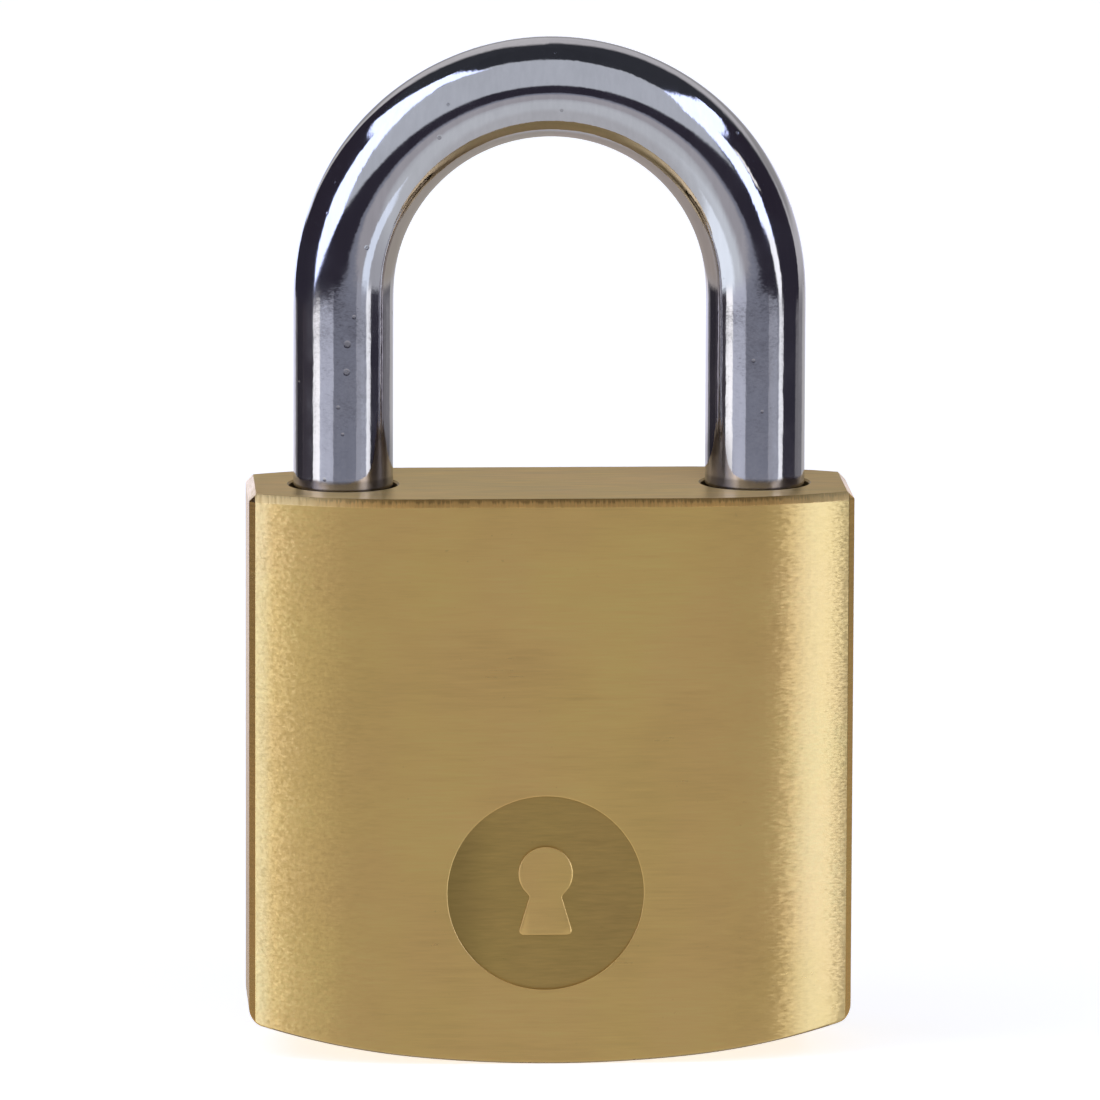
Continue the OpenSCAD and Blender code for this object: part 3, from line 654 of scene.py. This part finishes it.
def body_hull(slots):
    """The brass block as ribs along X: each rib is a cross-section with its edges rounded."""
    half_w, half_t, half_end, half_flat = BODY_W / 2, BODY_T / 2, END_T / 2, FLAT_W / 2
    end_run, end_drop = half_w - half_flat, half_t - half_end
    end_r = (end_run ** 2 + end_drop ** 2) / (2 * end_drop)
    plan = [(0.0, half_t), (half_flat, half_t)]
    for k in range(1, CURVE_STEPS + 1):
        x = half_flat + end_run * k / CURVE_STEPS
        plan.append((x, half_t - end_r + math.sqrt(end_r ** 2 - (x - half_flat) ** 2)))
    # the last chord meets the end face in a cut upright corner
    cut_y = half_t - end_r + math.sqrt(end_r ** 2 - (CORNER_CUT_X - half_flat) ** 2)
    keep = [p for p in plan if p[0] < CORNER_CUT_X - 0.1]
    plan = keep + fillet([keep[-1], (CORNER_CUT_X, cut_y), (half_w, CORNER_CUT_Y), (half_w, 0.0)],
                         [0, CORNER_ROUND, CORNER_ROUND, 0], 4)[1:-1]
    top = fillet([(0.0, BODY_H), (half_w - BEVEL, BODY_H), (half_w, BODY_H - BEVEL), (half_w, 0.0)],
                 [0, EDGE_ROUND, EDGE_ROUND, 0], 3)[:-1]
    corner_x = half_w - CORNER_R
    corner_z = ARCH_R - math.sqrt((ARCH_R - CORNER_R) ** 2 - corner_x ** 2)
    lean = math.asin(corner_x / (ARCH_R - CORNER_R))
    halves = [k / 2 for k in range(math.ceil(2 * corner_x))]
    bottom = [(x, ARCH_R - math.sqrt(ARCH_R ** 2 - x ** 2)) for x in halves]
    for k in range(CORNER_STEPS + 1):
        t = lean + (math.pi / 2 - lean) * k / CORNER_STEPS
        bottom.append((corner_x + CORNER_R * math.sin(t), corner_z - CORNER_R * math.cos(t)))
    stations = sorted({round(p[0], 5) for p in plan + top + bottom} | {float(x) for x in range(1, 9)})
    stations = [-x for x in stations[:0:-1]] + stations
    ribs = []
    for x in stations:
        a = abs(x)
        y, z_low, z_top = along_x(plan, a), along_x(bottom, a), along_x(top, a)
        shoulder = min(BODY_H - BEVEL, z_top)
        drop = max(z_top - shoulder, 0.0)
        half = fillet([(0.0, z_low), (y, z_low), (y, shoulder), (y - drop, z_top), (0.0, z_top)],
                      [0, BOTTOM_ROUND, EDGE_ROUND, EDGE_ROUND, 0], 4)
        ribs.append([(x, py, pz) for py, pz in half] + [(x, -py, pz) for py, pz in half[-2:0:-1]])
    count = len(ribs[0])
    verts = [p for rib in ribs for p in rib]
    faces = [list(range(count))[::-1], [(len(ribs) - 1) * count + k for k in range(count)]]
    for r in range(len(ribs) - 1):
        for k in range(count):
            n = (k + 1) % count
            faces.append([r * count + k, r * count + n, (r + 1) * count + n, (r + 1) * count + k])
    hull = mesh_object("lock_body", verts, faces, slots)
    for face in hull.data.polygons:
        normal, centre = face.normal, face.center / MM
        if normal.z > 0.93:
            face.material_index = TOP
        elif normal.z > 0.25 and centre.z > BODY_H - BEVEL - 0.1:
            face.material_index = END if abs(normal.x) > 0.5 else BEVELLED
        elif normal.z < -0.97:
            face.material_index = BOTTOM
        # The rounded bottom edge gets a darker brass: painted shade along the edge where the lock meets the
        # floor.
        elif normal.z < -0.3 and abs(normal.x) < 0.45 and abs(normal.y) > 0.1:
            face.material_index = EDGE_SHADE
        elif abs(normal.x) > 0.55:
            face.material_index = END
        else:
            face.material_index = SIDE
    return hull


def circle_points(cx, cz, radius, count, start=0.0, sweep=2 * math.pi, close=False):
    """Points on a circle or an arc. With close the arc's last point is there too."""
    angles = [start + sweep * k / count for k in range(count + close)]
    return [(cx + radius * math.cos(a), cz + radius * math.sin(a)) for a in angles]


def keyhole_outline():
    """Round head and flared foot of the keyhole figure, relative to the middle of the recess."""
    opening = math.asin(KEYHOLE_NECK / KEYHOLE_R) + 0.25
    head = circle_points(0, KEYHOLE_RISE, KEYHOLE_R, 48, opening - math.pi / 2, 2 * (math.pi - opening), True)
    foot_z = KEYHOLE_RISE - KEYHOLE_DROP
    foot = fillet([head[-1], (-KEYHOLE_NECK - 0.1, KEYHOLE_RISE - 1.5), (-KEYHOLE_FOOT, foot_z),
                   (KEYHOLE_FOOT, foot_z), (KEYHOLE_NECK + 0.1, KEYHOLE_RISE - 1.5), head[0]],
                  [0, 0.3, 0.18, 0.18, 0.3, 0], 5)
    return [(RECESS_X + x, RECESS_Z + z) for x, z in head + foot[1:-1]]


def mouth(face, radius):
    """The end of a bore's outline where it leaves the body: a broken edge 0.07 mm wide."""
    return [(face - 0.07, radius), (face + 0.13, radius + 0.2)]


def drill(body, slots, outline, axis, origin, sides):
    """Cuts a round bore out of the body."""
    carve(body, lathe("cut", outline, axis, origin, sides, slots, BORE))


def make_body(slots):
    """The brass block with its bores, and the recess round the keyhole figure."""
    body = body_hull(slots)
    lip = 0.12
    for side, floor_z in ((-1, HEEL_HOLE_Z), (1, TOE_HOLE_Z)):
        drill(body, slots,
              [(floor_z, LEG_HOLE_R), (BODY_H - lip, LEG_HOLE_R), (BODY_H + lip, LEG_HOLE_R + 2 * lip)],
              "Z", (side * LEG_X, 0, 0), 96)
    drill(body, slots, [(-1, PLUG_BORE_R + 0.45), (0.25, PLUG_BORE_R), (PLUG_BORE_TOP, PLUG_BORE_R)],
          "Z", (0, 0, 0), 128)
    drill(body, slots, [(PLUG_BORE_TOP - 1, PASSAGE_R), (BOLT_Z, PASSAGE_R)], "Z", (0, 0, 0), 64)
    drill(body, slots, [(-LEG_X, CROSS_R)] + mouth(BODY_W / 2, CROSS_R), "X", (0, 0, BOLT_Z), 96)
    for z in CHAMBER_ZS:
        drill(body, slots, [(4, CHAMBER_R)] + mouth(BODY_W / 2, CHAMBER_R), "X", (0, 0, z), 64)
    for x, z, radius, front in (STOP_PIN, RETAINER):
        drill(body, slots, [(front, radius)] + mouth(BODY_T / 2, radius), "Y", (x, 0, z), 64)
    face_y = -BODY_T / 2
    rim = prism("cut", circle_points(RECESS_X, RECESS_Z, RECESS_R, 160),
                [(face_y - 1, 0.18), (face_y - RIM_STEP, 0.18), (face_y + RIM_STEP, 0.0),
                 (face_y + RECESS_DEPTH, 0.0)],
                slots, RECESS, RECESS, SIDE)
    carve(rim, prism("keep", keyhole_outline(),
                     [(face_y - 2, 0.0), (face_y, 0.0), (face_y + RIM_STEP, 0.09), (face_y + 1, 0.12)],
                     slots, RECESS, RECESS, SIDE))
    carve(body, rim)
    smooth_shade(body)
    return body


# ---------------------------------------------------------------- shackle

def bow_path(steps):
    """Centres and turns of the rod from one leg to the other. The bend eases in and out, as in a bent rod."""
    ease = 3.2
    length = math.pi * LEG_X + ease
    bend = [min(1.0, s / ease, (length - s) / ease) for s in (length * k / steps for k in range(steps + 1))]
    bend = [b * b * (3 - 2 * b) for b in bend]
    turns = [0.0]
    for b0, b1 in zip(bend, bend[1:]):
        turns.append(turns[-1] + (b0 + b1) / 2)
    turns = [t * math.pi / turns[-1] for t in turns]
    path = [(0.0, 0.0)]
    for t0, t1 in zip(turns, turns[1:]):
        middle = (t0 + t1) / 2
        path.append((path[-1][0] + math.sin(middle), path[-1][1] + math.cos(middle)))
    scale = 2 * LEG_X / path[-1][0]
    rise = BOW_Z + LEG_X - scale * max(z for x, z in path)
    return [(scale * x - LEG_X, scale * z + rise, t) for (x, z), t in zip(path, turns)]


def make_shackle(material):
    """The rod as rings along its path: up the heel leg, round the bow and down the toe leg."""
    sides = 112
    tip, lip = 0.5, 0.15
    rings = []
    for z, r in [(HEEL_Z, ROD_R - tip), (HEEL_Z + tip, ROD_R), (COLLAR_TOP_Z - lip, ROD_R),
                 (COLLAR_TOP_Z, ROD_R - lip), (COLLAR_TOP_Z, NECK_R), (NECK_TOP_Z, NECK_R),
                 (NECK_TOP_Z, ROD_R - lip), (NECK_TOP_Z + lip, ROD_R)]:
        rings.append((-LEG_X, z, 0.0, r))
    bow = bow_path(176)
    low = NECK_TOP_Z + 1
    straight = [low + (bow[0][1] - low) * k / 16 for k in range(16)]
    rings += [(-LEG_X, z, 0.0, ROD_R) for z in straight]
    rings += [(x, z, t, ROD_R) for x, z, t in bow]
    rings += [(LEG_X, z, math.pi, ROD_R) for z in straight[::-1]]
    rings += [(LEG_X, TOE_Z + 0.6, math.pi, ROD_R), (LEG_X, TOE_Z, math.pi, ROD_R - 0.6)]
    verts, faces = [], []
    for cx, cz, turn, r in rings:
        for k in range(sides):
            a = 2 * math.pi * k / sides
            out, y = r * math.cos(a), r * math.sin(a)
            verts.append((cx - out * math.cos(turn), y, cz + out * math.sin(turn)))
    for i in range(len(rings) - 1):
        for k in range(sides):
            n = (k + 1) % sides
            faces.append([i * sides + k, i * sides + n, (i + 1) * sides + n, (i + 1) * sides + k])
    faces.append(list(range(sides))[::-1])
    faces.append([(len(rings) - 1) * sides + k for k in range(sides)])
    rod = mesh_object("shackle_rod", verts, faces, [material])
    for side in (-1, 1):
        inner = side * (LEG_X - ROD_R)
        x0, x1 = sorted((inner - side * 1.0, inner + side * NOTCH_DEPTH))
        z0, z1 = BOLT_Z - NOTCH_H / 2, BOLT_Z + NOTCH_H / 2
        carve(rod, prism("cut", [(x0, z0), (x1, z0), (x1, z1), (x0, z1)], [(-2 * ROD_R, 0), (2 * ROD_R, 0)],
                         [material], 0, 0, 0))
    smooth_shade(rod, 30)
    return rod


# ---------------------------------------------------------------- build

make_camera()
make_world()
make_studio()
make_floor()

BRASS = (1.0, 0.645, 0.223)
UPRIGHT, LEVEL = (0, 0, 1), (0, 1, 0)
side_brass = brushed_brass("brass_side", BRASS, 0.32, 0.97, "Z", UPRIGHT, (0.60, 9.0, 10.0),
                           0.052, 0.022, 1.0, grainy_end=0.08)
end_brass = brushed_brass("brass_end", BRASS, 0.24, 0.6, "Z", UPRIGHT, (0.75, 0.75, 11.0),
                          0.02, 0.022, 20.0)
insert_brass = brushed_brass("brass_insert", BRASS, 0.26, 0.6, "Z", UPRIGHT, (7.0, 7.0, 0.9),
                             0.02, 0.03, 90.0)
# The top face uses a paler copy of the brass than the sides: a painted sheen for the grazing light it
# mirrors.
top_brass = brushed_brass("brass_top", (0.93, 0.67, 0.31), 0.40, 0.95, "Y", LEVEL, (0.35, 1.8, 2.0),
                          0.015, 0.05, 40.0)
bottom_brass = brushed_brass("brass_bottom", BRASS, 0.34, 0.5, "Y", LEVEL, (0.5, 9.0, 9.0),
                             0.05, 0.05, 60.0)
# Its second colour is a lighter brass for the painted highlights at the bevel's ends.
bevel_brass = chatter_brass("brass_bevel", (0.94, 0.545, 0.165), (1.0, 0.71, 0.29), 0.50)
# Darker brass on the rounded bottom edge: painted shade.
edge_shade_brass = turned_metal("brass_edge_shade", (0.46, 0.33, 0.19), 0.30, (2.0, 2.0, 2.0), 0.10, 0.3, "Z", 7.0)
bore_brass = turned_metal("brass_bore", (0.50, 0.34, 0.13), 0.42, (0.8, 0.8, 9.0), 0.08, 0.3, "Z", 3.0)
# The recess brass is darker toward its left side: painted shade.
recess_brass = brushed_brass("brass_recess", (0.66, 0.43, 0.136), 0.33, 0.95, "Z", UPRIGHT, (0.9, 9.0, 9.0),
                             0.06, 0.045, 80.0, painted_shade=(-7.2, -3.2, 0.70))
plug_brass = turned_metal("brass_plug", (0.84, 0.60, 0.25), 0.30, (5.0, 5.0, 1.2), 0.05, 0.5, "Z", 5.0)
pin_brass = turned_metal("brass_pin", (0.84, 0.60, 0.25), 0.28, (1.2, 6.0, 6.0), 0.05, 0.3, "Y", 8.0)
pin_steel = turned_metal("steel_pin", (0.55, 0.55, 0.57), 0.28, (1.2, 6.0, 6.0), 0.06, 0.3, "Y", 12.0)
wire_steel = turned_metal("steel_wire", (0.48, 0.49, 0.51), 0.32, (7.0, 7.0, 7.0), 0.08, 0.2, "Z", 15.0)
rod_chrome = chrome("chrome_rod", (0.69, 0.665, 0.68), 0.05)

lock_body = make_body([side_brass, top_brass, bevel_brass, bottom_brass, bore_brass, recess_brass, end_brass,
                       edge_shade_brass])
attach(lock_body, "case")
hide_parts("body")

shackle_rod = make_shackle(rod_chrome)
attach(shackle_rod, "shackle")
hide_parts("shackle")

finishes = {"cylinder_plug": plug_brass, "cam": pin_steel, "shackle_spring": wire_steel,
            "cross_bore_plug": insert_brass, "chamber_plugs": insert_brass, "shackle_stop_pin": pin_steel,
            "plug_retaining_pin": pin_steel, "latch_bolt_heel": pin_brass, "latch_bolt_toe": pin_brass,
            "bolt_spring_back": wire_steel, "bolt_spring_front": wire_steel}
for number in range(1, 6):
    finishes[f"key_pin_{number}"] = pin_brass
    finishes[f"driver_pin_{number}"] = pin_steel
    finishes[f"pin_spring_{number}"] = wire_steel
for name, material in finishes.items():
    slots = nodes[name].data.materials
    slots.clear()
    slots.append(material)
